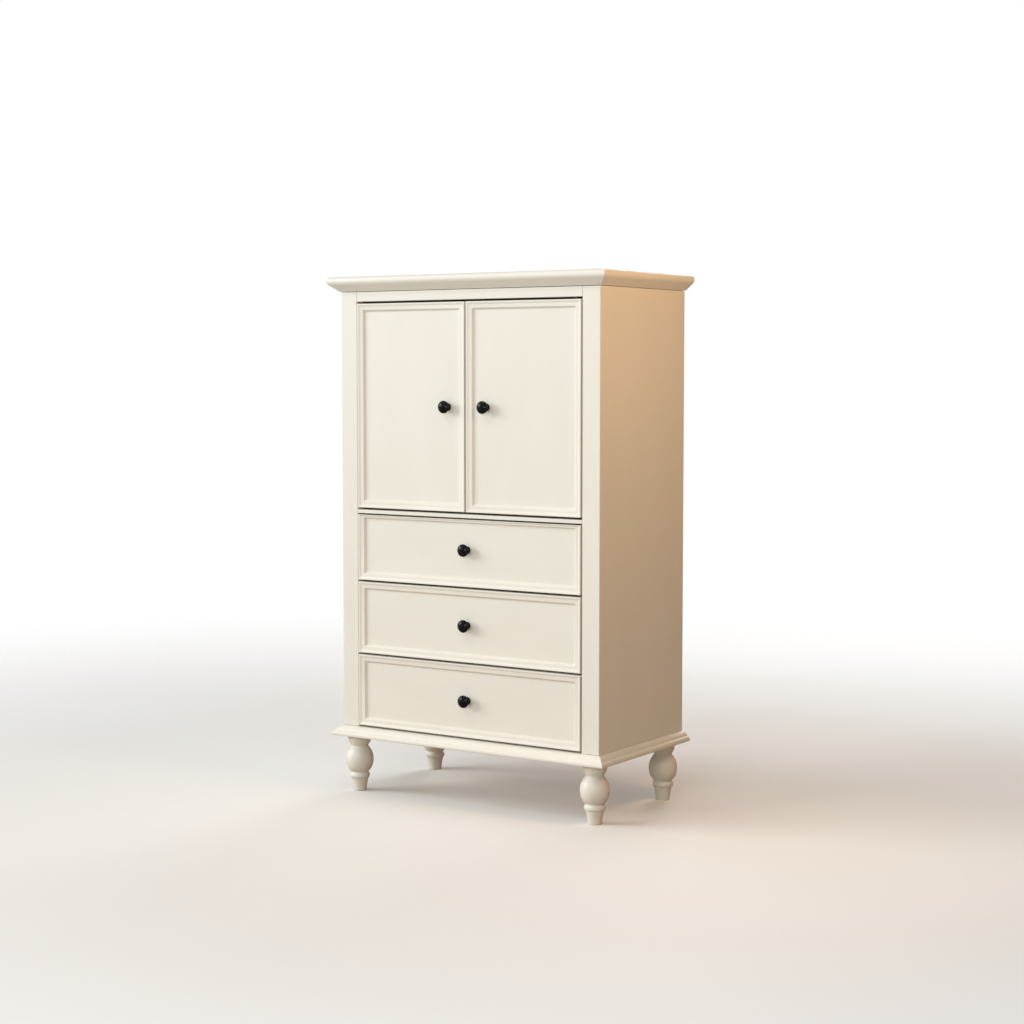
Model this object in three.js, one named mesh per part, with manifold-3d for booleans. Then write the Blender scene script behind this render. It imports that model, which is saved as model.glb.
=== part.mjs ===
// An apothecary cabinet: two inset doors over three inset drawers, between a moulded cornice and a
// moulded plinth, on four turned legs. Millimetres, +Z up, front toward -Y. The origin is on the
// floor, below the middle of the outer box.
import * as THREE from 'three';
import { mergeVertices } from 'three/addons/utils/BufferGeometryUtils.js';
import Module from 'manifold-3d';

const wasm = await Module();
wasm.setup();

// ---- Driving dimensions -------------------------------------------------------------------------

const WIDTH = 600; // outside the side panels
const DEPTH = 320; // from the stiles' faces to the back
const PLINTH_BOTTOM = 114.5; // also the height of the legs
const PLINTH_TOP = 134.5;
const CORNICE_BOTTOM = 1002.5;
const TOP = 1031;
const CORNICE_OVERHANG = 21.5;
const JOINT_GAP = 0.3; // between pieces that touch
const MITRE_TRIM = 0.2; // off each length of moulding at a mitre

const PANEL_THICK = 18; // side panels
const BACK_THICK = 6;
const STILE_WIDTH = 38;
const FRAME_THICK = 20; // stiles and rails, front to back
const TOP_RAIL_HEIGHT = 19.7;
const DIVIDER_HEIGHT = 7.2; // divider rail and the cupboard floor behind it
const MOULDING_SEAT = 22; // how far the cornice and plinth reach in under the case

const FRONT_THICK = 21; // doors and drawer fronts
const FRONT_PROUD = 2; // how far their faces stand before the stiles' faces
const FRONT_GAP = 4.2; // above and below the fronts
const DIVIDER_GAP = 3; // between the divider rail and the top drawer's front
const CENTRE_GAP = 4; // between the doors
const SIDE_GAP = 2.6; // between a front and a stile
const DRAWER_PITCH = 146.3;
const LOWEST_FRONT = 138.6; // underside of the bottom drawer front
const DOOR_BOTTOM = 575.4;
const NARROW_BORDER = 0.45; // width of the top drawer's upper border, against the others

const BOX_HALF_WIDTH = 258; // drawer box, outside
const BOX_DEPTH = 281;
const BOX_HEIGHT = 105;
const BOX_LIFT = 18; // from a drawer front's underside to its box's
const BOX_THICK = 12;
const BOX_BOTTOM_THICK = 6;
const BOX_BOTTOM_LIFT = 8;

const RUNNER_FLANGE = 14; // height of the flange under a drawer side
const RUNNER_WEB = 16; // height of the web beside it
const RUNNER_REACH = 11; // flange below the drawer side, across its thickness
const RUNNER_CLEAR = 0.6;

const SHELF_TOP = 786;
const SHELF_THICK = 16;
const SHELF_SETBACK = 40; // behind the stiles' faces
const BATTEN = 18;

const LEG_INSET = 22.5; // leg centres from the front and the sides
const LEG_INSET_BACK = 37;

const DOOR_KNOB_X = 45;
const KNOB_LENGTH = 21;
const PANEL_RECESS = 7; // flat panel behind a front's edge

const PIN_RADIUS = 1.75;
const PIN_HOLE_RADIUS = 2.1;
const PIN_INSET_X = 12; // pin axis from the door's outer edge
const PIN_INSET_Y = 5.9; // pin axis behind the door's face
const PIN_DEPTH = 9; // into the door
const LEAF_LENGTH = 36;
const LEAF_WIDTH = 6.4;
const LEAF_THICK = 1.6;
const LEAF_END = 5; // from the pin axis to the leaf's near end

const CATCH = { halfWidth: 24, depth: 21, height: 40, overlap: 17 };

// ---- Places that follow from them ---------------------------------------------------------------

const HALF = WIDTH / 2;
const FACE = -DEPTH / 2;
const BACK = DEPTH / 2;
const ORIGIN_SHIFT = CORNICE_OVERHANG / 2; // centres the outer box, cornice to back
const OPENING_HALF = HALF - STILE_WIDTH;
const FRONT_HALF = OPENING_HALF - SIDE_GAP;
const INNER_HALF = HALF - PANEL_THICK;
const FRAME_BACK = FACE + FRAME_THICK;
const INNER_BACK = BACK - BACK_THICK;
const OPENING_TOP = CORNICE_BOTTOM - JOINT_GAP - TOP_RAIL_HEIGHT;
const DIVIDER_TOP = DOOR_BOTTOM - FRONT_GAP;
const DIVIDER_BOTTOM = DIVIDER_TOP - DIVIDER_HEIGHT;
const DOOR_TOP = OPENING_TOP - FRONT_GAP;
const FRONT_FACE = FACE - FRONT_PROUD;
const FRONT_BACK = FRONT_FACE + FRONT_THICK;
const PIN_X = FRONT_HALF - PIN_INSET_X;
const PIN_Y = FRONT_FACE + PIN_INSET_Y;

// ---- Materials ----------------------------------------------------------------------------------

const IVORY_PAINT = new THREE.MeshStandardMaterial({ color: 0xece8da, roughness: 0.5, metalness: 0 });
const PINE = new THREE.MeshStandardMaterial({ color: 0xd8bb8c, roughness: 0.7, metalness: 0 });
const PLYWOOD = new THREE.MeshStandardMaterial({ color: 0xcaa878, roughness: 0.75, metalness: 0 });
const BLACK_METAL = new THREE.MeshStandardMaterial({ color: 0x171614, roughness: 0.35, metalness: 0.6 });
const BRASS = new THREE.MeshStandardMaterial({ color: 0x57432a, roughness: 0.45, metalness: 1 });
const CATCH_PLASTIC = new THREE.MeshStandardMaterial({ color: 0x2c241e, roughness: 0.5, metalness: 0 });

// ---- Shape helpers ------------------------------------------------------------------------------

// Keeps only the positions, with shared vertices merged and collapsed triangles left out.
function closed(geometry) {
  const bare = geometry.clone();
  bare.deleteAttribute('normal');
  bare.deleteAttribute('uv');
  const merged = mergeVertices(bare, 1e-4);
  const old = merged.index.array;
  const kept = [];
  for (let i = 0; i < old.length; i += 3) {
    const [a, b, c] = [old[i], old[i + 1], old[i + 2]];
    if (a !== b && b !== c && c !== a) kept.push(a, b, c);
  }
  merged.setIndex(kept);
  return merged;
}

function toManifold(geometry) {
  const source = closed(geometry);
  const vertProperties = new Float32Array(source.attributes.position.array);
  const triVerts = new Uint32Array(source.index.array);
  return new wasm.Manifold(new wasm.Mesh({ numProp: 3, vertProperties, triVerts }));
}

function fromManifold(manifold) {
  const { vertProperties, triVerts } = manifold.getMesh();
  const geometry = new THREE.BufferGeometry();
  geometry.setAttribute('position', new THREE.BufferAttribute(vertProperties, 3));
  geometry.setIndex(new THREE.BufferAttribute(triVerts, 1));
  return geometry;
}

function cut(geometry, cutters) {
  const solid = toManifold(geometry);
  return fromManifold(cutters.reduce((left, cutter) => left.subtract(toManifold(cutter)), solid));
}

function join(first, second) {
  return fromManifold(toManifold(first).add(toManifold(second)));
}

function piece(name, geometry, material) {
  const mesh = new THREE.Mesh(closed(geometry), material);
  mesh.name = name;
  return mesh;
}

function box([x0, x1], [y0, y1], [z0, z1]) {
  const geometry = new THREE.BoxGeometry(x1 - x0, y1 - y0, z1 - z0);
  return geometry.translate((x0 + x1) / 2, (y0 + y1) / 2, (z0 + z1) / 2);
}

function board(name, material, x, y, z) {
  return piece(name, box(x, y, z), material);
}

// An upright cylinder between two heights.
function post(radius, x, y, [z0, z1]) {
  const geometry = new THREE.CylinderGeometry(radius, radius, z1 - z0, 16);
  return geometry.rotateX(Math.PI / 2).translate(x, y, (z0 + z1) / 2);
}

// A length of moulding whose outline's x runs outward from the case and y upward. An end that is
// mitred follows the outline outward at 45 degrees.
function moulding(outline, length, { mitreStart, mitreEnd }) {
  const options = { depth: length, bevelEnabled: false, curveSegments: 5 };
  const geometry = new THREE.ExtrudeGeometry(outline, options);
  const position = geometry.attributes.position;
  for (let i = 0; i < position.count; i += 1) {
    const outward = position.getX(i);
    const atStart = position.getZ(i) < length / 2;
    if (atStart && mitreStart) position.setZ(i, -outward);
    if (!atStart && mitreEnd) position.setZ(i, length + outward);
  }
  return geometry;
}

// Front, left and right lengths of one moulding round the case, from a height upward.
function mouldingSet(name, outline, height) {
  const up = new THREE.Vector3(0, 0, 1);
  const bothEnds = { mitreStart: true, mitreEnd: true };
  const frontLength = WIDTH - 2 * MITRE_TRIM;
  const sideLength = DEPTH - MITRE_TRIM;
  const runs = [
    ['front', [0, -1, 0], [HALF - MITRE_TRIM, FACE], frontLength, bothEnds],
    ['left', [-1, 0, 0], [-HALF, FACE + MITRE_TRIM], sideLength, { mitreStart: true }],
    ['right', [1, 0, 0], [HALF, BACK], sideLength, { mitreEnd: true }],
  ];
  return runs.map(([side, outward, start, length, ends]) => {
    const out = new THREE.Vector3(...outward);
    const along = new THREE.Vector3().crossVectors(out, up);
    const place = new THREE.Matrix4().makeBasis(out, up, along).setPosition(start[0], start[1], height);
    return piece(`${name}_${side}`, moulding(outline, length, ends).applyMatrix4(place), IVORY_PAINT);
  });
}

// ---- Outlines -----------------------------------------------------------------------------------

// A straight slope outward, then a full round nose under the flat top.
function corniceOutline() {
  const height = TOP - CORNICE_BOTTOM;
  const nose = 20; // height of the nose's widest point
  return new THREE.Shape()
    .moveTo(-MOULDING_SEAT, 0)
    .lineTo(1.2, 0)
    .quadraticCurveTo(1.9, 0, 2.5, 0.5)
    .lineTo(17.2, 12.4)
    .bezierCurveTo(19.8, 14.5, CORNICE_OVERHANG, 17, CORNICE_OVERHANG, nose)
    .bezierCurveTo(CORNICE_OVERHANG, 24.8, 19.4, height, 14.4, height)
    .lineTo(-MOULDING_SEAT, height);
}

// Round lower band, a shallow hollow, and a smaller upper round that slopes back to the case.
function plinthOutline() {
  const height = PLINTH_TOP - PLINTH_BOTTOM;
  const reach = 17.5;
  return new THREE.Shape()
    .moveTo(-MOULDING_SEAT, 0)
    .lineTo(reach - 1.9, 0)
    .quadraticCurveTo(reach, 0, reach, 2.2)
    .lineTo(reach, 3.4)
    .bezierCurveTo(reach, 6.8, 15.6, 8.6, 13.4, 9.6)
    .quadraticCurveTo(12, 10.2, 11.6, 11.4)
    .bezierCurveTo(10.6, 13.8, 8.9, 15.8, 6.6, 17.2)
    .quadraticCurveTo(4, 18.7, 0, height)
    .lineTo(-MOULDING_SEAT, height);
}

// Radius against height, from the floor up: tapered foot, collar, ball, neck and flared cap.
function legOutline() {
  const top = PLINTH_BOTTOM - JOINT_GAP;
  const outline = new THREE.Path()
    .moveTo(0, 0)
    .lineTo(12.2, 0)
    .quadraticCurveTo(13.6, 0, 13.7, 2)
    .bezierCurveTo(14, 9, 15.4, 18, 18, 26.2)
    .bezierCurveTo(20.6, 27.6, 21.2, 34.6, 17.4, 37.6)
    .lineTo(17.2, 38.6)
    .bezierCurveTo(24.6, 43, 28.2, 55, 28.2, 64.5)
    .bezierCurveTo(28.2, 75, 23.6, 84, 17.4, 90.4)
    .bezierCurveTo(17.2, 93.4, 22.2, 97.2, 23, 104.6)
    .lineTo(23.6, top)
    .lineTo(0, top);
  return outline.getPoints(4);
}

// Radius against distance from the panel: rosette, waisted stem, and a wide head with a low dome.
function knobOutline() {
  const outline = new THREE.Path()
    .moveTo(0, 0)
    .lineTo(7.4, 0)
    .quadraticCurveTo(7.6, 1.8, 5.8, 2.2)
    .bezierCurveTo(4.6, 4.6, 4.8, 7.6, 7.6, 9.6)
    .bezierCurveTo(10.2, 11.2, 12.3, 12.4, 12.4, 14.4)
    .quadraticCurveTo(12.5, 16.4, 11, 17.3)
    .quadraticCurveTo(6.8, KNOB_LENGTH, 0, KNOB_LENGTH);
  return outline.getPoints(4);
}

// Inset from a front's edge, and depth behind its face, from the back edge to the flat panel: a
// narrow lip, a slope, a nearly flat band and a steep step down.
const BORDER = [
  [0, FRONT_THICK],
  [0, 0.8],
  [0.8, 0],
  [2, 0],
  [3.6, 0.6],
  [5.6, 1.6],
  [7.4, 2],
  [12, 2.5],
  [13, 3.2],
  [15.2, 6.4],
  [16.2, PANEL_RECESS],
];

// ---- Fronts -------------------------------------------------------------------------------------

// A slab whose border is the outline above, taken round the four edges with mitred corners. The
// upper border may be narrower. It is centred on x, and its underside is at z = 0.
function framedFront(width, height, upperScale = 1) {
  const corners = [];
  for (const [inset, depth] of BORDER) {
    const right = width / 2 - inset;
    const low = inset;
    const high = height - inset * upperScale;
    const y = FRONT_FACE + depth;
    corners.push(-right, y, low, right, y, low, right, y, high, -right, y, high);
  }
  const triangles = [0, 2, 1, 0, 3, 2];
  for (let ring = 0; ring < BORDER.length - 1; ring += 1) {
    for (let side = 0; side < 4; side += 1) {
      const a = ring * 4 + side;
      const b = ring * 4 + ((side + 1) % 4);
      triangles.push(a, b, b + 4, a, b + 4, a + 4);
    }
  }
  const last = (BORDER.length - 1) * 4;
  triangles.push(last, last + 1, last + 2, last, last + 2, last + 3);
  const geometry = new THREE.BufferGeometry();
  geometry.setAttribute('position', new THREE.Float32BufferAttribute(corners, 3));
  geometry.setIndex(triangles);
  return geometry;
}

function knob(name, x, z) {
  const geometry = new THREE.LatheGeometry(knobOutline(), 18).rotateX(Math.PI);
  return piece(name, geometry.translate(x, FRONT_FACE + PANEL_RECESS - JOINT_GAP, z), BLACK_METAL);
}

// ---- Pivot hinges -------------------------------------------------------------------------------

// A leaf's rectangle in plan, for the door on one side (-1 left, +1 right), grown by a margin.
function leafPlan(side, margin) {
  const near = side * (PIN_X + LEAF_END + margin);
  const far = side * (PIN_X + LEAF_END - LEAF_LENGTH - margin);
  const x = [Math.min(near, far), Math.max(near, far)];
  const y = [PIN_Y - LEAF_WIDTH / 2 - margin, PIN_Y + LEAF_WIDTH / 2 + margin];
  return { x, y };
}

// Heights at one end of a door: `away` is +1 at the top and -1 at the bottom.
function hingeHeights(end) {
  const away = end === 'upper' ? 1 : -1;
  const caseEdge = end === 'upper' ? OPENING_TOP : DIVIDER_TOP;
  const doorEdge = end === 'upper' ? DOOR_TOP : DOOR_BOTTOM;
  const span = (from, reach) => [from, from + away * reach].sort((a, b) => a - b);
  return {
    caseLeaf: span(caseEdge + away * 0.2, LEAF_THICK),
    caseMortise: span(caseEdge - away * 1, LEAF_THICK + 1.5),
    doorLeaf: span(doorEdge - away * 0.2, -LEAF_THICK),
    doorMortise: span(doorEdge + away * 1, -(LEAF_THICK + 1.5)),
    pin: span(caseEdge + away * 0.6, -(PIN_DEPTH + FRONT_GAP)),
    pinHole: span(doorEdge + away * 1, -(PIN_DEPTH + 2.5)),
  };
}

function mortise(side, end, part) {
  const { x, y } = leafPlan(side, JOINT_GAP);
  return box(x, y, hingeHeights(end)[part]);
}

function caseLeaf(name, side, end) {
  const { x, y } = leafPlan(side, 0);
  const heights = hingeHeights(end);
  const pin = post(PIN_RADIUS, side * PIN_X, PIN_Y, heights.pin);
  return piece(name, join(box(x, y, heights.caseLeaf), pin), BRASS);
}

function doorLeaf(name, side, end) {
  const { x, y } = leafPlan(side, 0);
  const [z0, z1] = hingeHeights(end).doorLeaf;
  const hole = post(PIN_HOLE_RADIUS, side * PIN_X, PIN_Y, [z0 - 1, z1 + 1]);
  return piece(name, cut(box(x, y, [z0, z1]), [hole]), BRASS);
}

// ---- Sub-assemblies -----------------------------------------------------------------------------

function carcass() {
  const parts = new THREE.Group();
  const uprights = [PLINTH_TOP + JOINT_GAP, CORNICE_BOTTOM - JOINT_GAP];
  const between = [-OPENING_HALF + JOINT_GAP, OPENING_HALF - JOINT_GAP];
  const inside = [-INNER_HALF + JOINT_GAP, INNER_HALF - JOINT_GAP];
  const frameY = [FACE, FRAME_BACK];
  const behindFrame = FRAME_BACK + JOINT_GAP;
  for (const [side, sign] of [['left', -1], ['right', 1]]) {
    const across = (near, far) => [sign * near, sign * far].sort((a, b) => a - b);
    parts.add(
      board(`side_panel_${side}`, IVORY_PAINT, across(INNER_HALF, HALF), [behindFrame, BACK], uprights),
      board(`stile_${side}`, IVORY_PAINT, across(OPENING_HALF, HALF), frameY, uprights),
    );
  }
  const sides = [-1, 1];
  const railBox = box(between, frameY, [OPENING_TOP, CORNICE_BOTTOM - JOINT_GAP]);
  const railMortises = sides.map((side) => mortise(side, 'upper', 'caseMortise'));
  const dividerZ = [DIVIDER_BOTTOM, DIVIDER_TOP];
  const dividerBox = box(between, frameY, dividerZ);
  const dividerMortises = sides.map((side) => mortise(side, 'lower', 'caseMortise'));
  parts.add(
    piece('top_rail', cut(railBox, railMortises), IVORY_PAINT),
    piece('divider_rail', cut(dividerBox, dividerMortises), IVORY_PAINT),
    board('cupboard_floor', IVORY_PAINT, inside, [behindFrame, INNER_BACK - JOINT_GAP], dividerZ),
    board('back_panel', PLYWOOD, inside, [INNER_BACK, BACK], uprights),
  );
  const within = [-HALF + MOULDING_SEAT + JOINT_GAP, HALF - MOULDING_SEAT - JOINT_GAP];
  const withinDepth = [FACE + MOULDING_SEAT + JOINT_GAP, BACK];
  parts.add(
    board('top_board', IVORY_PAINT, within, withinDepth, [CORNICE_BOTTOM, TOP]),
    board('base_board', IVORY_PAINT, within, withinDepth, [PLINTH_BOTTOM, PLINTH_TOP]),
    ...mouldingSet('cornice', corniceOutline(), CORNICE_BOTTOM),
    ...mouldingSet('plinth', plinthOutline(), PLINTH_BOTTOM),
  );
  return parts;
}

function cupboardInterior() {
  const parts = new THREE.Group();
  const shelfY = [FACE + SHELF_SETBACK, INNER_BACK - JOINT_GAP];
  const shelfHalf = INNER_HALF - 2 * JOINT_GAP;
  const shelfBottom = SHELF_TOP - SHELF_THICK;
  const shelfZ = [shelfBottom, SHELF_TOP];
  parts.add(board('cupboard_shelf', IVORY_PAINT, [-shelfHalf, shelfHalf], shelfY, shelfZ));
  const battenZ = [shelfBottom - JOINT_GAP - BATTEN, shelfBottom - JOINT_GAP];
  const inner = INNER_HALF - JOINT_GAP;
  parts.add(
    board('shelf_batten_left', IVORY_PAINT, [-inner, BATTEN - inner], shelfY, battenZ),
    board('shelf_batten_right', IVORY_PAINT, [inner - BATTEN, inner], shelfY, battenZ),
  );
  const catchBottom = OPENING_TOP + CATCH.overlap - CATCH.height;
  const catchY = [FRAME_BACK + JOINT_GAP, FRAME_BACK + JOINT_GAP + CATCH.depth];
  const catchX = [-CATCH.halfWidth, CATCH.halfWidth];
  parts.add(board('door_catch', CATCH_PLASTIC, catchX, catchY, [catchBottom, catchBottom + CATCH.height]));
  return parts;
}

function legs() {
  const parts = new THREE.Group();
  const rows = [['front', FACE + LEG_INSET], ['back', BACK - LEG_INSET_BACK]];
  for (const [row, y] of rows) {
    for (const [side, sign] of [['left', -1], ['right', 1]]) {
      const x = sign * (HALF - LEG_INSET);
      const geometry = new THREE.LatheGeometry(legOutline(), 20).rotateX(Math.PI / 2);
      parts.add(piece(`leg_${row}_${side}`, geometry.translate(x, y, 0), IVORY_PAINT));
    }
  }
  return parts;
}

// Two L-shaped wooden runners: a flange under the drawer's side and a web beside it.
function runners(name, boxBottom) {
  const parts = new THREE.Group();
  const tip = BOX_HALF_WIDTH - RUNNER_REACH;
  const web = BOX_HALF_WIDTH + RUNNER_CLEAR;
  const wall = INNER_HALF - JOINT_GAP;
  const deck = boxBottom - JOINT_GAP;
  const outline = new THREE.Shape()
    .moveTo(tip, deck - RUNNER_FLANGE)
    .lineTo(wall, deck - RUNNER_FLANGE)
    .lineTo(wall, deck + RUNNER_WEB)
    .lineTo(web, deck + RUNNER_WEB)
    .lineTo(web, deck)
    .lineTo(tip, deck);
  const front = FRAME_BACK + JOINT_GAP;
  const back = INNER_BACK - JOINT_GAP;
  const bar = new THREE.ExtrudeGeometry(outline, { depth: back - front, bevelEnabled: false });
  bar.rotateX(Math.PI / 2).translate(0, back, 0);
  const mirrored = bar.clone().rotateZ(Math.PI).translate(0, front + back, 0);
  parts.add(piece(`${name}_runner_right`, bar, PINE), piece(`${name}_runner_left`, mirrored, PINE));
  return parts;
}

function door(name, side) {
  const parts = new THREE.Group();
  const inner = CENTRE_GAP / 2;
  const width = FRONT_HALF - inner;
  const middle = side * (inner + width / 2);
  const front = framedFront(width, DOOR_TOP - DOOR_BOTTOM).translate(middle, 0, DOOR_BOTTOM);
  const cutters = ['upper', 'lower'].flatMap((end) => [
    mortise(side, end, 'doorMortise'),
    post(PIN_HOLE_RADIUS, side * PIN_X, PIN_Y, hingeHeights(end).pinHole),
  ]);
  parts.add(
    piece(`${name}_front`, cut(front, cutters), IVORY_PAINT),
    knob(`${name}_knob`, side * DOOR_KNOB_X, (DOOR_TOP + DOOR_BOTTOM) / 2),
  );
  for (const end of ['upper', 'lower']) {
    parts.add(
      doorLeaf(`${name}_${end}_door_leaf`, side, end),
      caseLeaf(`${name}_${end}_case_leaf`, side, end),
    );
  }
  return parts;
}

function drawer(name, level) {
  const parts = new THREE.Group();
  const bottom = LOWEST_FRONT + level * DRAWER_PITCH;
  const isTop = level === 2;
  const height = isTop ? DIVIDER_BOTTOM - DIVIDER_GAP - bottom : DRAWER_PITCH - FRONT_GAP;
  const border = isTop ? NARROW_BORDER : 1;
  const front = framedFront(2 * FRONT_HALF, height, border).translate(0, 0, bottom);
  parts.add(
    piece(`${name}_front`, front, IVORY_PAINT),
    knob(`${name}_knob`, 0, bottom + (DRAWER_PITCH - FRONT_GAP) / 2),
  );
  const boxBottom = bottom + BOX_LIFT;
  const boxTop = boxBottom + BOX_HEIGHT;
  const boxY = [FRONT_BACK + JOINT_GAP, FRONT_BACK + BOX_DEPTH];
  const within = BOX_HALF_WIDTH - BOX_THICK - JOINT_GAP;
  const deck = boxBottom + BOX_BOTTOM_LIFT;
  const backZ = [deck + BOX_BOTTOM_THICK + JOINT_GAP, boxTop];
  const sideX = [BOX_HALF_WIDTH - BOX_THICK, BOX_HALF_WIDTH];
  parts.add(
    board(`${name}_side_right`, PINE, sideX, boxY, [boxBottom, boxTop]),
    board(`${name}_side_left`, PINE, [-sideX[1], -sideX[0]], boxY, [boxBottom, boxTop]),
    board(`${name}_back`, PINE, [-within, within], [boxY[1] - BOX_THICK, boxY[1]], backZ),
    board(`${name}_bottom`, PLYWOOD, [-within, within], boxY, [deck, deck + BOX_BOTTOM_THICK]),
    ...runners(name, boxBottom).children,
  );
  return parts;
}

// ---- The cabinet --------------------------------------------------------------------------------

const cabinet = new THREE.Group();
cabinet.add(
  carcass(),
  cupboardInterior(),
  legs(),
  door('left_door', -1),
  door('right_door', 1),
  drawer('bottom_drawer', 0),
  drawer('middle_drawer', 1),
  drawer('top_drawer', 2),
);
cabinet.position.y = ORIGIN_SHIFT;

export default cabinet;
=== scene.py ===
"""The looks of an apothecary cabinet: ivory paint, black knobs, pine drawers, brass pivot hinges.

Metres, +Z up, front toward -Y. Lengths that describe a section are in millimetres.
"""
import math

import bmesh
import bpy
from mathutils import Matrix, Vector


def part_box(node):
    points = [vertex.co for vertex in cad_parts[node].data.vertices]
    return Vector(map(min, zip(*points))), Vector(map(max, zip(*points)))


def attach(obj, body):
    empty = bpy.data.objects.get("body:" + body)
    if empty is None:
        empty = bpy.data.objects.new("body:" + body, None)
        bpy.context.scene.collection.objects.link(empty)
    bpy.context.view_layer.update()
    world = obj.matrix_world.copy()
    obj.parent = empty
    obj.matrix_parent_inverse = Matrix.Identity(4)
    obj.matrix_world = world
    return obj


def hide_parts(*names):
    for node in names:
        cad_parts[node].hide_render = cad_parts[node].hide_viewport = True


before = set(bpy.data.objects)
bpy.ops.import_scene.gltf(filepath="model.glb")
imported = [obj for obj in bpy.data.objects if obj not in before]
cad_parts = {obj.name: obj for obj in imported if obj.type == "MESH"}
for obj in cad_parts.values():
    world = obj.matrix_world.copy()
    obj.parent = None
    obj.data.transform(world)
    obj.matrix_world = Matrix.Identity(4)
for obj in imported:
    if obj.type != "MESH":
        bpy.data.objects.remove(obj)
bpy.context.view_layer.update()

MM = 0.001
UP = Vector((0, 0, 1))
DOORS = {"left_door": -1, "right_door": 1}  # the side each hangs on
DRAWERS = ("top_drawer", "middle_drawer", "bottom_drawer")

# ---- Nodes and materials ------------------------------------------------------------------------


def add(tree, kind, inputs=None, **settings):
    """Adds a shader node. An input's value is a number, a colour, or the socket that feeds it."""
    made = tree.nodes.new("ShaderNode" + kind)
    for key, value in settings.items():
        setattr(made, key, value)
    for key, value in (inputs or {}).items():
        if isinstance(value, bpy.types.NodeSocket):
            tree.links.new(value, made.inputs[key])
        else:
            made.inputs[key].default_value = value
    return made


def material(name):
    made = bpy.data.materials.new(name)
    made.use_nodes = True
    tree = made.node_tree
    return made, tree, tree.nodes["Principled BSDF"]


def stretched(tree, scale):
    """Object coordinates, scaled along each axis."""
    place = add(tree, "TexCoord").outputs["Object"]
    return add(tree, "Mapping", {"Vector": place, "Scale": scale}).outputs["Vector"]


def noise(tree, vector, scale, detail, roughness=0.5):
    settings = {"Vector": vector, "Scale": scale, "Detail": detail, "Roughness": roughness}
    return add(tree, "TexNoise", settings).outputs["Fac"]


def ramp(tree, factor, stops):
    """A colour ramp through (position, colour) stops."""
    made = add(tree, "ValToRGB", {"Fac": factor})
    band = made.color_ramp
    while len(band.elements) < len(stops):
        band.elements.new(0.5)
    for element, (position, colour) in zip(band.elements, stops):
        element.position = position
        element.color = colour
    return made.outputs["Color"]


def spread(tree, factor, low, high):
    """Maps a noise's middle range to low..high."""
    limits = {"Value": factor, "From Min": 0.3, "From Max": 0.7, "To Min": low, "To Max": high}
    return add(tree, "MapRange", limits).outputs["Result"]


def mix(tree, factor, first, second):
    """Mixes two colours. The Mix node's colour sockets are its seventh and eighth inputs."""
    made = add(tree, "Mix", data_type="RGBA")
    sockets = (made.inputs[0], made.inputs[6], made.inputs[7])
    for socket, value in zip(sockets, (factor, first, second)):
        if isinstance(value, bpy.types.NodeSocket):
            tree.links.new(value, socket)
        else:
            socket.default_value = value
    return made.outputs[2]


def bump(tree, height, distance, strength, base=None):
    """A bump normal, on top of the base normal if one is given."""
    inputs = {"Height": height, "Distance": distance, "Strength": strength}
    if base is not None:
        inputs["Normal"] = base
    return add(tree, "Bump", inputs).outputs["Normal"]


def along(axis, lengthwise, across):
    """Mapping scales for a grain or brush stroke that runs along x, y or z."""
    return [lengthwise if name == axis else across for name in "xyz"]


IVORY_LIGHT = (0.815, 0.790, 0.712, 1)
IVORY_WARM = (0.795, 0.766, 0.684, 1)
WHITE = (1, 1, 1, 1)
PINE_TONES = ((0.52, 0.33, 0.16, 1), (0.67, 0.48, 0.27, 1), (0.75, 0.58, 0.36, 1))
PLY_TONES = ((0.47, 0.32, 0.18, 1), (0.54, 0.385, 0.225, 1), (0.575, 0.42, 0.255, 1))
LACQUER_TONES = ((0.0045, 0.0042, 0.0038, 1), (0.009, 0.008, 0.007, 1))
BRASS_TONES = ((0.075, 0.048, 0.022, 1), (0.13, 0.088, 0.042, 1))
STEEL_TONES = ((0.45, 0.45, 0.44, 1), (0.60, 0.60, 0.58, 1))
PLASTIC_TONES = ((0.024, 0.018, 0.013, 1), (0.032, 0.024, 0.018, 1))


def ivory_paint(axis):
    """Satin paint, brushed along the board: faint strokes, a slight orange peel, an uneven tone."""
    made, tree, shader = material(f"ivory_paint_{axis}")
    tone = noise(tree, stretched(tree, along(axis, 2, 6)), 2.2, 4)
    colour = ramp(tree, tone, [(0.3, IVORY_WARM), (0.7, IVORY_LIGHT)])
    streaks = noise(tree, stretched(tree, along(axis, 6, 420)), 1.0, 4, 0.6)
    brushed = mix(tree, spread(tree, streaks, 0.0, 0.05), colour, WHITE)
    tree.links.new(brushed, shader.inputs["Base Color"])
    tree.links.new(spread(tree, streaks, 0.36, 0.5), shader.inputs["Roughness"])
    peel = noise(tree, stretched(tree, (1, 1, 1)), 520, 2)
    surface = bump(tree, streaks, 0.05 * MM, 0.6)
    tree.links.new(bump(tree, peel, 0.03 * MM, 0.5, surface), shader.inputs["Normal"])
    return made


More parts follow.
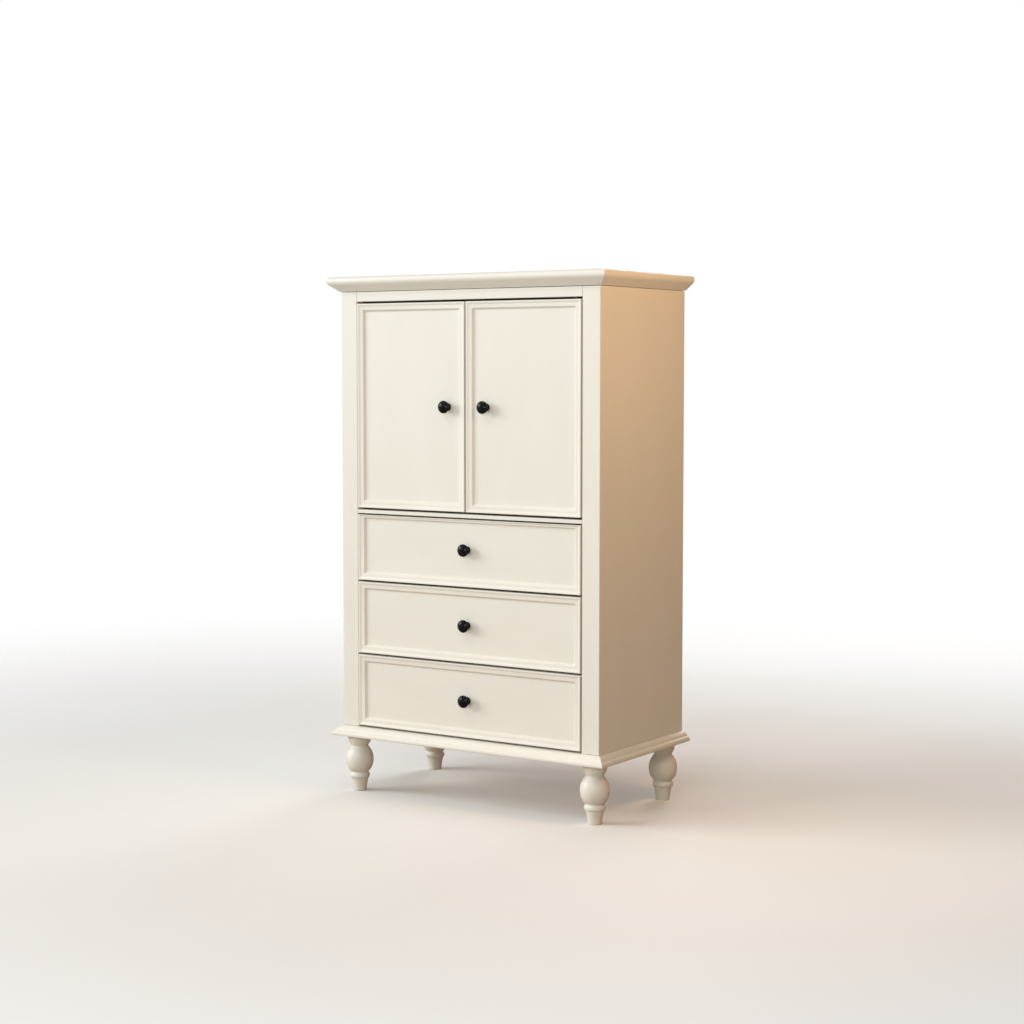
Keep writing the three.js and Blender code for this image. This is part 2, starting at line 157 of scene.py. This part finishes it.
def wood(name, axis, colours, width, rings):
    """Planed wood: wandering growth bands along the board, fine pores and a little sheen. A larger
    width gives a narrower figure, and more rings give more bands."""
    made, tree, shader = material(f"{name}_{axis}")
    wander = noise(tree, stretched(tree, along(axis, 1.1, width)), 1.0, 4, 0.55)
    bands = add(tree, "Math", {0: wander, 1: float(rings)}, operation="MULTIPLY").outputs[0]
    wave = add(tree, "Math", {0: bands}, operation="SINE").outputs[0]
    limits = {"Value": wave, "From Min": -1.0, "From Max": 1.0}
    grain = add(tree, "MapRange", limits).outputs["Result"]
    colour = ramp(tree, grain, [(0.0, colours[0]), (0.55, colours[1]), (1.0, colours[2])])
    pores = noise(tree, stretched(tree, along(axis, 30, 1400)), 1.0, 3, 0.6)
    fine = mix(tree, spread(tree, pores, 0.22, 0.0), colour, colours[0])
    tree.links.new(fine, shader.inputs["Base Color"])
    tree.links.new(spread(tree, pores, 0.5, 0.68), shader.inputs["Roughness"])
    surface = bump(tree, grain, 0.06 * MM, 0.5)
    tree.links.new(bump(tree, pores, 0.06 * MM, 0.6, surface), shader.inputs["Normal"])
    return made


def black_lacquer():
    """Near-black satin lacquer, faintly uneven in tone and sheen."""
    made, tree, shader = material("black_lacquer")
    place = stretched(tree, (1, 1, 1))
    tone = noise(tree, place, 90, 4)
    colour = ramp(tree, tone, [(0.35, LACQUER_TONES[0]), (0.75, LACQUER_TONES[1])])
    tree.links.new(colour, shader.inputs["Base Color"])
    tree.links.new(spread(tree, tone, 0.13, 0.2), shader.inputs["Roughness"])
    tree.links.new(bump(tree, noise(tree, place, 900, 2), 0.02 * MM, 0.5), shader.inputs["Normal"])
    shader.inputs["Specular IOR Level"].default_value = 0.14
    return made


def brushed_metal(name, tones, roughness):
    """Metal with fine scratches along its length and slightly dulled patches."""
    made, tree, shader = material(name)
    scratches = noise(tree, stretched(tree, (40, 1800, 1800)), 1.0, 2)
    patches = noise(tree, stretched(tree, (1, 1, 1)), 60, 4)
    colour = ramp(tree, patches, [(0.35, tones[0]), (0.65, tones[1])])
    tree.links.new(colour, shader.inputs["Base Color"])
    tree.links.new(spread(tree, scratches, *roughness), shader.inputs["Roughness"])
    tree.links.new(bump(tree, scratches, 0.02 * MM, 0.5), shader.inputs["Normal"])
    shader.inputs["Metallic"].default_value = 1.0
    return made


def moulded_plastic():
    """Dark brown plastic with a fine moulded grain."""
    made, tree, shader = material("moulded_plastic")
    grain = noise(tree, stretched(tree, (1, 1, 1)), 1300, 2)
    tone = noise(tree, stretched(tree, (1, 1, 1)), 40, 2)
    colour = ramp(tree, tone, [(0.3, PLASTIC_TONES[0]), (0.7, PLASTIC_TONES[1])])
    tree.links.new(colour, shader.inputs["Base Color"])
    tree.links.new(spread(tree, grain, 0.4, 0.55), shader.inputs["Roughness"])
    tree.links.new(bump(tree, grain, 0.03 * MM, 0.6), shader.inputs["Normal"])
    return made


PAINT = {axis: ivory_paint(axis) for axis in "xyz"}
PINE = {axis: wood("pine", axis, PINE_TONES, width=14, rings=26) for axis in "xy"}
PLYWOOD = {axis: wood("plywood", axis, PLY_TONES, width=30, rings=22) for axis in "xz"}
LACQUER = black_lacquer()
BRASS = brushed_metal("aged_brass", BRASS_TONES, (0.4, 0.55))
STEEL = brushed_metal("zinc_steel", STEEL_TONES, (0.25, 0.42))
PLASTIC = moulded_plastic()

# ---- Mesh helpers -------------------------------------------------------------------------------


def bezier(points, steps):
    """Points after the first along a quadratic or cubic curve through two or three controls."""
    degree = len(points) - 1
    result = []
    for step in range(1, steps + 1):
        t = step / steps
        weights = [math.comb(degree, k) * t**k * (1 - t) ** (degree - k) for k in range(degree + 1)]
        result.append(tuple(sum(w * p[axis] for w, p in zip(weights, points)) for axis in (0, 1)))
    return result


def outline(start, *moves, steps=7):
    """Points of an outline in metres. A move of two numbers is a line, of four or six a curve."""
    points = [start]
    for move in moves:
        controls = [tuple(move[i:i + 2]) for i in range(0, len(move), 2)]
        points += controls if len(controls) == 1 else bezier([points[-1], *controls], steps)
    return [(a * MM, b * MM) for a, b in points]


def settle(name, bm, body, finish, slot, replaced=(), degrees=32, turned=False):
    """Turns a bmesh into a piece that rides on a body, with its material, in place of the
    replaced nodes. Its slot argument is not used. Edges over the given angle stay sharp. Unless
    the piece is turned, its large faces are shaded flat up to their rounded edges."""
    mesh = bpy.data.meshes.new(name)
    bmesh.ops.recalc_face_normals(bm, faces=bm.faces)
    bm.to_mesh(mesh)
    bm.free()
    mesh.shade_smooth()
    mesh.set_sharp_from_angle(angle=math.radians(degrees))
    mesh.materials.append(finish)
    piece = bpy.data.objects.new(name, mesh)
    bpy.context.scene.collection.objects.link(piece)
    if not turned:
        piece.modifiers.new("flat_faces", "WEIGHTED_NORMAL").keep_sharp = True
    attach(piece, body)
    if replaced:
        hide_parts(*replaced)


def add_box(bm, low, high, radius, square=()):
    """A box with rounded edges. Those round a face named in square, such as "+y", stay sharp."""
    low, high = Vector(low), Vector(high)
    middle = (low + high) / 2
    made = bmesh.ops.create_cube(bm, size=1.0)["verts"]
    for vert in made:
        vert.co = middle + Vector(c * s for c, s in zip(vert.co, high - low))
    edges = []
    for edge in {e for v in made for e in v.link_edges}:
        offset = (edge.verts[0].co + edge.verts[1].co) / 2 - middle
        sides = [i for i in range(3) if abs(offset[i]) > 1e-6]
        faces = {("+" if offset[i] > 0 else "-") + "xyz"[i] for i in sides}
        if not faces & set(square):
            edges.append(edge)
    bmesh.ops.bevel(
        bm, geom=edges, offset=radius, offset_type="OFFSET", segments=3, profile=0.5, affect="EDGES"
    )


def board(node, body, finish, slot, radius=0.6, square=(), grow=None):
    """A board with softened edges in a CAD board's place. grow moves faces out, in millimetres."""
    low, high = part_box(node)
    for face, amount in (grow or {}).items():
        corner = high if face[0] == "+" else low
        corner["xyz".index(face[1])] += amount * MM * (1 if face[0] == "+" else -1)
    bm = bmesh.new()
    add_box(bm, low, high, radius * MM, square)
    settle(f"{node}_board", bm, body, finish, slot, (node,))


def add_lathe(bm, profile, place, segments, axis=UP):
    """Turns a profile of (radius, height) that starts and ends on the axis."""
    turn = UP.rotation_difference(Vector(axis)).to_matrix()
    place = Vector(place)
    rings = []
    for radius, height in profile:
        if radius < 1e-9:
            rings.append([bm.verts.new(place + turn @ Vector((0, 0, height)))])
            continue
        angles = [2 * math.pi * k / segments for k in range(segments)]
        spots = [Vector((radius * math.cos(a), radius * math.sin(a), height)) for a in angles]
        rings.append([bm.verts.new(place + turn @ spot) for spot in spots])
    for lower, upper in zip(rings, rings[1:]):
        for k in range(segments):
            n = (k + 1) % segments
            corners = [lower[k % len(lower)], lower[n % len(lower)]]
            corners += [upper[n % len(upper)], upper[k % len(upper)]]
            unique = list(dict.fromkeys(corners))
            if len(unique) > 2:
                bm.faces.new(unique)


def add_screw(bm, place, axis, radius, height):
    """A slotted screw head: a thin disc under two half rounds with the slot between them. Radius
    and height are in millimetres."""
    turn = UP.rotation_difference(Vector(axis)).to_matrix()
    place = Vector(place)
    steps = 14
    half_slot = 0.13 * radius
    start = math.asin(half_slot / radius)
    arc = [start + (math.pi - 2 * start) * k / steps for k in range(steps + 1)]
    for side in (1, -1):
        loops = []
        for size, level in ((1.0, 0.0), (1.0, 0.55), (0.86, 0.9), (0.6, 1.0)):
            ring = []
            for angle in arc:
                x = math.cos(angle) * radius * size
                y = max(math.sin(angle) * radius * size, half_slot)
                spot = Vector((x * side, y * side, level * height)) * MM
                ring.append(bm.verts.new(place + turn @ spot))
            loops.append(ring)
        for lower, upper in zip(loops, loops[1:]):
            for k in range(len(arc)):
                n = (k + 1) % len(arc)
                bm.faces.new((lower[k], lower[n], upper[n], upper[k]))
        bm.faces.new(loops[-1])
        bm.faces.new(loops[0][::-1])
    rim, slot_floor = 0.96 * radius * MM, 0.45 * height * MM
    disc = [(0, 0), (rim, 0), (rim, slot_floor), (0, slot_floor)]
    add_lathe(bm, disc, place, segments=28, axis=axis)


def screws(name, body, places, axis, finish, radius, height):
    """Screw heads at several places, as one piece."""
    bm = bmesh.new()
    for place in places:
        add_screw(bm, place, axis, radius, height)
    settle(name, bm, body, finish, "brass", degrees=40, turned=True)


def soften_cad(node, finish, width):
    """Keeps a CAD node's own shape, with softened edges and its finish."""
    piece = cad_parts[node]
    piece.data.materials.clear()
    piece.data.materials.append(finish)
    weld = piece.modifiers.new("weld", "WELD")
    weld.merge_threshold = 0.01 * MM
    bevel = piece.modifiers.new("softened_edges", "BEVEL")
    bevel.width = width * MM
    bevel.segments = 2
    bevel.limit_method = "ANGLE"
    bevel.angle_limit = math.radians(50)


# ---- Case ---------------------------------------------------------------------------------------

CASE_LOW = Vector((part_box("side_panel_left")[0].x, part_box("stile_left")[0].y, 0))
CASE_HIGH = Vector((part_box("side_panel_right")[1].x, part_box("side_panel_right")[1].y, 0))
SHADOW_LINE = -0.4  # millimetres added to the case's height, which leaves a line on its top edge
MOULDING_SEAT = -22  # a moulding's inner edge, in millimetres out from the case


def uprights():
    """Stiles and side panels. Paint closes the joint between them, so they meet with no line."""
    paint = (PAINT["z"], "ivory_paint")
    for side in ("left", "right"):
        stile, panel = f"stile_{side}", f"side_panel_{side}"
        board(stile, "cabinet", *paint, 1.1, ("+y",), {"+z": SHADOW_LINE})
        seam = (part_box(panel)[0].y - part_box(stile)[1].y) / MM - 0.01
        board(panel, "cabinet", *paint, 0.8, ("-y",), {"-y": seam, "+z": SHADOW_LINE})


def boards():
    paint = "ivory_paint"
    board("top_rail", "cabinet", PAINT["x"], paint, 1.1, grow={"+z": SHADOW_LINE})
    board("divider_rail", "cabinet", PAINT["x"], paint, 0.7)
    board("cupboard_floor", "cabinet", PAINT["x"], paint)
    board("cupboard_shelf", "cabinet", PAINT["x"], paint, 1.5)
    board("shelf_batten_left", "cabinet", PAINT["y"], paint, 1.0)
    board("shelf_batten_right", "cabinet", PAINT["y"], paint, 1.0)
    board("top_board", "cabinet", PAINT["x"], paint, 0.3)
    board("base_board", "cabinet", PAINT["x"], paint, 0.3)
    board("back_panel", "cabinet", PLYWOOD["z"], "plywood", 0.3)
    back_pins()


def back_pins():
    """Flat-headed pins round the back panel's edge and along the cupboard floor behind it."""
    low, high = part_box("back_panel")
    deck = (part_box("cupboard_floor")[0].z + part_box("cupboard_floor")[1].z) / 2
    edge = 9 * MM
    left, right, bottom, top = low.x + edge, high.x - edge, low.z + edge, high.z - edge
    spots = [(x, bottom + (top - bottom) * k / 6) for x in (left, right) for k in range(7)]
    spots += [(left + (right - left) * k / 4, z) for z in (bottom, deck, top) for k in (1, 2, 3)]
    bm = bmesh.new()
    head = [(0, 0), (2.3 * MM, 0), (2.3 * MM, 0.25 * MM), (2.0 * MM, 0.4 * MM), (0, 0.4 * MM)]
    for x, z in spots:
        add_lathe(bm, head, (x, high.y - 0.05 * MM, z), segments=20, axis=(0, 1, 0))
    settle("back_panel_pins", bm, "cabinet", STEEL, "brass")


def moulding_size(name):
    """How far a moulding reaches out from the case, and its height, in millimetres."""
    low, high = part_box(f"{name}_front")
    return (CASE_LOW.y - low.y) / MM, (high.z - low.z) / MM


def cornice_section():
    """Outward distance and height above the case: a straight slope, then a full round nose."""
    reach, height = moulding_size("cornice")
    return outline(
        (MOULDING_SEAT, 0), (1.2, 0), (1.9, 0, 2.5, 0.5), (17.2, 12.4),
        (19.8, 14.5, reach, 17, reach, 20), (reach, 24.8, 19.4, height, 14.4, height),
        (MOULDING_SEAT, height),
    )


def plinth_section():
    """Outward distance and height above the plinth's underside: two rounds, a hollow between."""
    reach, height = moulding_size("plinth")
    return outline(
        (MOULDING_SEAT, 0), (reach - 1.9, 0), (reach, 0, reach, 2.2), (reach, 3.4),
        (reach, 6.8, 15.6, 8.6, 13.4, 9.6), (12, 10.2, 11.6, 11.4),
        (10.6, 13.8, 8.9, 15.8, 6.6, 17.2), (4, 18.7, 0, height), (MOULDING_SEAT, height),
    )


def add_run(bm, section, start, end, outward, mitres):
    """A length of moulding from start to end. Each mitred end follows the section outward."""
    direction = (end - start).normalized()
    loops = []
    for spot, sign, mitred in ((start, -1, mitres[0]), (end, 1, mitres[1])):
        slant = sign if mitred else 0
        ring = [spot + outward * o + UP * h + direction * (slant * o) for o, h in section]
        loops.append([bm.verts.new(p) for p in ring])
    count = len(section)
    for k in range(count):
        n = (k + 1) % count
        bm.faces.new((loops[0][k], loops[0][n], loops[1][n], loops[1][k]))
    bm.faces.new(loops[0][::-1])
    bm.faces.new(loops[1])


def moulding_runs(name, section):
    """Front, left and right lengths, which meet at hairline mitres."""
    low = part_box(f"{name}_front")[0].z
    left, right, front, back = CASE_LOW.x, CASE_HIGH.x, CASE_LOW.y, CASE_HIGH.y
    hair = 0.04 * MM
    runs = {
        "front": ((left + hair, front), (right - hair, front), (0, -1), (True, True), "x"),
        "left": ((left, back), (left, front + hair), (-1, 0), (False, True), "y"),
        "right": ((right, back), (right, front + hair), (1, 0), (False, True), "y"),
    }
    for side, (start, end, outward, mitres, grain) in runs.items():
        bm = bmesh.new()
        line = Vector((*start, low)), Vector((*end, low))
        add_run(bm, section, *line, Vector((*outward, 0)), mitres)
        node = f"{name}_{side}"
        settle(f"{node}_moulding", bm, "cabinet", PAINT[grain], "ivory_paint", (node,), degrees=24)


def legs():
    """Turned legs: tapered foot, collar, ball, neck and flared cap."""
    for row in ("front", "back"):
        for side in ("left", "right"):
            node = f"leg_{row}_{side}"
            low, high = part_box(node)
            top = (high.z - low.z) / MM
            profile = outline(
                (0, 0), (12.2, 0), (13.5, 0, 13.6, 2), (14, 9, 15.3, 17.5, 17.7, 25.6),
                (17.8, 26.3, 18.6, 26.9), (20.2, 28.4, 20.2, 31.2),
                (20.2, 34.6, 19.0, 36.9, 17.0, 37.7),
                (16.7, 38.3, 17.4, 38.9), (24.6, 43.2, 28.15, 55, 28.15, 64.5),
                (28.15, 75, 23.6, 84, 17.5, 90.2), (17.1, 91.2, 17.6, 92.4),
                (19.6, 96.6, 22.4, 98.6, 22.9, 104.6), (23.5, top), (0, top), steps=9,
            )
            bm = bmesh.new()
            centre = (low + high) / 2
            add_lathe(bm, profile, (centre.x, centre.y, low.z), segments=72)
            paint = (PAINT["z"], "ivory_paint")
            settle(f"{node}_turned", bm, "cabinet", *paint, (node,), 38, turned=True)


# ---- Fronts -------------------------------------------------------------------------------------

PANEL_RECESS = 7.0  # millimetres from a front's edge back to its flat panel
BORDER_SEAT = 7.4  # the border's glued edge, just inside the slab
NARROW_BORDER = 0.45  # width of the top drawer's upper border, against the others


def border_section():
    """(inset, depth) round a front: a lip, a slope, a nearly flat band and a steep step down."""
    return outline(
        (0, BORDER_SEAT), (0, 0.8), (0, 0, 0.8, 0), (1.9, 0), (2.7, 0, 3.4, 0.5), (5.2, 1.45),
        (5.9, 1.85, 7.0, 1.95), (11.6, 2.45), (12.6, 2.6, 13.1, 3.4), (15.0, 6.1),
        (15.6, PANEL_RECESS, 16.2, PANEL_RECESS), (16.2, BORDER_SEAT), steps=4,
    )


def framed_front(name, body):
    """A front in two pieces: a slab, and a moulded border with mitred corners glued on it."""
    node = f"{name}_front"
    low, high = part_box(node)
    upper_scale = NARROW_BORDER if name == "top_drawer" else 1.0
    grain = "z" if name in DOORS else "x"
    bm = bmesh.new()
    rings = []
    for inset, depth in border_section():
        top = high.z - inset * upper_scale
        spots = [(low.x + inset, low.z + inset), (high.x - inset, low.z + inset)]
        spots += [(high.x - inset, top), (low.x + inset, top)]
        rings.append([bm.verts.new((x, low.y + depth, z)) for x, z in spots])
    rings.append(rings[0])
    for outer, inner in zip(rings, rings[1:]):
        for k in range(4):
            n = (k + 1) % 4
            bm.faces.new((outer[k], outer[n], inner[n], inner[k]))
    settle(f"{name}_border", bm, body, PAINT[grain], "ivory_paint", degrees=24)
    slab = bmesh.new()
    add_box(slab, (low.x, low.y + PANEL_RECESS * MM, low.z), high, 0.5 * MM, ("-y",))
    settle(f"{name}_slab", slab, body, PAINT[grain], "ivory_paint", (node,))


def knob(name, body):
    """A turned knob: rosette, waisted stem, wide head with a low dome, and its screw behind."""
    node = f"{name}_knob"
    low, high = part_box(node)
    base = Vector(((low.x + high.x) / 2, high.y + 0.3 * MM, (low.z + high.z) / 2))
    profile = outline(
        (0, 0), (6.9, 0), (7.5, 0, 7.5, 0.7), (7.5, 1.7, 6.6, 1.9), (5.9, 2.0, 5.6, 2.5),
        (4.6, 4.6, 4.8, 7.4, 7.6, 9.6), (10.2, 11.2, 12.3, 12.2, 12.35, 14.3),
        (12.4, 16.2, 11.2, 17.2), (10.9, 17.5, 10.4, 17.6), (6.4, 20.9, 0, 20.95), steps=8,
    )
    bm = bmesh.new()
    add_lathe(bm, profile, base, segments=56, axis=(0, -1, 0))
    settle(f"{name}_knob_turned", bm, body, LACQUER, "black_knob", (node,), 40, turned=True)
    inside = Vector((base.x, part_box(f"{name}_front")[1].y, base.z))
    screws(f"{name}_knob_screw", body, [inside], (0, 1, 0), STEEL, radius=4.0, height=2.0)


def doors():
    """Each door with its pivot hinges. The leaves that face up when the doors open show screws."""
    for name, side in DOORS.items():
        framed_front(name, name)
        knob(name, name)
        for end in ("upper", "lower"):
            soften_cad(f"{name}_{end}_door_leaf", BRASS, 0.2)
            soften_cad(f"{name}_{end}_case_leaf", BRASS, 0.2)
        low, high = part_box(f"{name}_lower_case_leaf")
        inner = low.x if side > 0 else high.x
        leaf_low, leaf_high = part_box(f"{name}_upper_door_leaf")
        middle = (leaf_low.y + leaf_high.y) / 2
        rail_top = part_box("divider_rail")[1].z - 0.2 * MM
        for end, body, top in (("lower", "cabinet", rail_top), ("upper", name, leaf_high.z)):
            places = [Vector((inner + side * gap * MM, middle, top)) for gap in (5, 16)]
            title = f"{name}_{end}_leaf_screws"
            screws(title, body, places, UP, BRASS, radius=2.0, height=0.35)


# ---- Drawers ------------------------------------------------------------------------------------


def drawer(name):
    """A front with its knob, a pine box with a plywood bottom, and the two runners."""
    framed_front(name, name)
    knob(name, name)
    for side in ("left", "right"):
        board(f"{name}_side_{side}", name, PINE["y"], "pine", 1.6, ("-y",), {"-y": 0.2})
        soften_cad(f"{name}_runner_{side}", PINE["y"], 0.8)
    board(f"{name}_back", name, PINE["x"], "pine", 1.2)
    board(f"{name}_bottom", name, PLYWOOD["x"], "plywood", 0.3)
    box_screws(name)


def box_screws(name):
    """Countersunk screws through each drawer side into its back."""
    for side, sign in (("left", -1), ("right", 1)):
        low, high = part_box(f"{name}_side_{side}")
        back_low, back_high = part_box(f"{name}_back")
        face = high.x if sign > 0 else low.x
        depth = (back_low.y + back_high.y) / 2
        heights = [back_low.z + (back_high.z - back_low.z) * share for share in (0.2, 0.8)]
        places = [Vector((face - sign * 0.9 * MM, depth, z)) for z in heights]
        title = f"{name}_box_screws_{side}"
        screws(title, name, places, (sign, 0, 0), STEEL, radius=3.0, height=1.1)


# ---- Catch --------------------------------------------------------------------------------------

POLE_SIZE = Vector((6, 2, 2.4)) * MM
POLE_COLUMNS = (-17, -7, 7, 17)  # millimetres from the middle, two for each door
POLE_ROWS = (-6, -17)  # millimetres from the top rail's underside
PLATE_EDGES = (3.5, 21)  # millimetres out from the middle
PLATE_MIDDLE = -11.5  # millimetres from the top rail's underside
PLATE_HEIGHT = 16


def door_catch():
    """A twin magnetic catch: a moulded housing, steel poles for each door, and a plate on each."""
    low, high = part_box("door_catch")
    rail_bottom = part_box("top_rail")[0].z
    housing = bmesh.new()
    add_box(housing, low, high, 1.5 * MM)
    settle("door_catch_housing", housing, "cabinet", PLASTIC, "catch_plastic", ("door_catch",))
    poles = bmesh.new()
    for x in POLE_COLUMNS:
        for z in POLE_ROWS:
            corner = Vector((x * MM, low.y - 0.25 * MM, rail_bottom + z * MM))
            corner -= Vector((POLE_SIZE.x, 0, POLE_SIZE.z)) / 2
            add_box(poles, corner, corner + POLE_SIZE, 0.2 * MM)
    settle("door_catch_poles", poles, "cabinet", STEEL, "brass")
    bottom, top = [rail_bottom + (PLATE_MIDDLE + PLATE_HEIGHT * k) * MM for k in (-0.5, 0.5)]
    for name, side in DOORS.items():
        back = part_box(f"{name}_front")[1].y
        left, right = sorted(side * edge * MM for edge in PLATE_EDGES)
        plate = bmesh.new()
        add_box(plate, (left, back - 0.2 * MM, bottom), (right, back + 0.7 * MM, top), 0.3 * MM)
        settle(f"{name}_catch_plate", plate, name, STEEL, "brass")


# ---- Studio -------------------------------------------------------------------------------------

CAMERA_PLACE = (2.1917, -3.2968, 0.8468)
CAMERA_TURN = 33.52  # degrees from facing +Y, toward -X
CAMERA_TILT = -4.04  # degrees above the horizon
CAMERA_LENS = 70.39  # on a 36 mm sensor

FLOOR_RADIUS = 3.4
FLOOR_FADE = (0.9, 3.2)  # distances over which the floor gives way to the surround
FLOOR_PALE = ((0.90, 0.895, 0.885, 1), (0.92, 0.915, 0.905, 1))
FLOOR_BOUNCE = (0.44, 0.36, 0.28, 1)  # the floor as everything but the camera sees it
WINDOW_SIDE = (-0.58, -0.80, 0.14)  # the direction that the pale light comes from
AMBIENT_WARM = (0.135, 0.072, 0.034, 1)
AMBIENT_PALE = (0.64, 0.665, 0.675, 1)


def area_light(name, place, target, size, power, colour):
    data = bpy.data.lights.new(name, "AREA")
    data.shape = "RECTANGLE"
    data.size, data.size_y = size
    data.energy = power
    data.color = colour
    lamp = bpy.data.objects.new(name, data)
    bpy.context.scene.collection.objects.link(lamp)
    lamp.location = place
    lamp.rotation_euler = (Vector(target) - Vector(place)).to_track_quat("-Z", "Y").to_euler()
    lamp.visible_camera = False


def floor():
    """A pale floor that fades into the white surround. Only the camera sees it as pale: it throws
    back a little warm light, as a wooden floor would."""
    bm = bmesh.new()
    bmesh.ops.create_circle(bm, cap_ends=True, segments=96, radius=FLOOR_RADIUS)
    mesh = bpy.data.meshes.new("floor")
    bm.to_mesh(mesh)
    bm.free()
    made, tree, shader = material("floor")
    seen = add(tree, "LightPath").outputs["Is Camera Ray"]
    tone = noise(tree, stretched(tree, (1, 1, 1)), 1.4, 3)
    pale = ramp(tree, tone, [(0.3, FLOOR_PALE[0]), (0.7, FLOOR_PALE[1])])
    tree.links.new(mix(tree, seen, FLOOR_BOUNCE, pale), shader.inputs["Base Color"])
    shader.inputs["Roughness"].default_value = 0.9
    shader.inputs["Specular IOR Level"].default_value = 0.1
    place = add(tree, "TexCoord").outputs["Object"]
    distance = add(tree, "VectorMath", {0: place}, operation="LENGTH").outputs["Value"]
    limits = {"Value": distance, "From Min": FLOOR_FADE[0], "From Max": FLOOR_FADE[1]}
    fade = add(tree, "MapRange", limits, interpolation_type="SMOOTHSTEP").outputs["Result"]
    clear = add(tree, "BsdfTransparent").outputs["BSDF"]
    blend = add(tree, "MixShader", {0: fade, 1: shader.outputs["BSDF"], 2: clear}).outputs["Shader"]
    tree.links.new(blend, tree.nodes["Material Output"].inputs["Surface"])
    mesh.materials.append(made)
    plane = bpy.data.objects.new("floor", mesh)
    bpy.context.scene.collection.objects.link(plane)


def surround():
    """White to the camera. What lights the cabinet is pale from the left and dim and warm from the
    right, as from a window and a wooden wall."""
    world = bpy.data.worlds.new("studio")
    bpy.context.scene.world = world
    world.use_nodes = True
    tree = world.node_tree
    facing = add(tree, "TexCoord").outputs["Generated"]
    product = add(tree, "VectorMath", {0: facing, 1: WINDOW_SIDE}, operation="DOT_PRODUCT")
    toward = product.outputs["Value"]
    limits = {"Value": toward, "From Min": -0.5, "From Max": 0.6}
    share = add(tree, "MapRange", limits, interpolation_type="SMOOTHSTEP").outputs["Result"]
    ambient = mix(tree, share, AMBIENT_WARM, AMBIENT_PALE)
    seen = add(tree, "LightPath").outputs["Is Camera Ray"]
    background = tree.nodes["Background"]
    tree.links.new(mix(tree, seen, ambient, WHITE), background.inputs["Color"])
    background.inputs["Strength"].default_value = 1.0


def studio():
    floor()
    surround()
    area_light("window", (-6.7, -4.4, 3.2), (0, -0.1, 0.4), (5.0, 3.0), 388, (1.0, 1.0, 0.985))
    area_light("ceiling", (-0.7, -1.9, 3.1), (0, 0, 0.6), (0.3, 0.3), 8, (1.0, 0.985, 0.96))
    area_light("low_fill", (0.95, -3.1, 1.1), (0, -0.1, 0), (1.4, 0.7), 19, (1.0, 0.965, 0.91))
    lamp_place, lamp_target = (1.05, -0.16, 1.22), (0.3, -0.01, 0.8)
    area_light("wall_lamp", lamp_place, lamp_target, (0.3, 0.3), 4.2, (1.0, 0.62, 0.31))
    area_light("back_fill", (-0.6, 3.4, 1.9), (0, 0.17, 0.5), (1.6, 1.6), 40, (1.0, 0.985, 0.96))
    data = bpy.data.cameras.new("camera")
    data.lens = CAMERA_LENS
    data.sensor_width = 36
    camera = bpy.data.objects.new("camera", data)
    camera.location = CAMERA_PLACE
    camera.rotation_euler = (math.radians(90 + CAMERA_TILT), 0, math.radians(CAMERA_TURN))
    bpy.context.scene.collection.objects.link(camera)
    bpy.context.scene.camera = camera
    bpy.context.scene.view_settings.view_transform = "Standard"


# ---- Assembly -----------------------------------------------------------------------------------

uprights()
boards()
moulding_runs("cornice", cornice_section())
moulding_runs("plinth", plinth_section())
legs()
doors()
for drawer_name in DRAWERS:
    drawer(drawer_name)
door_catch()
studio()
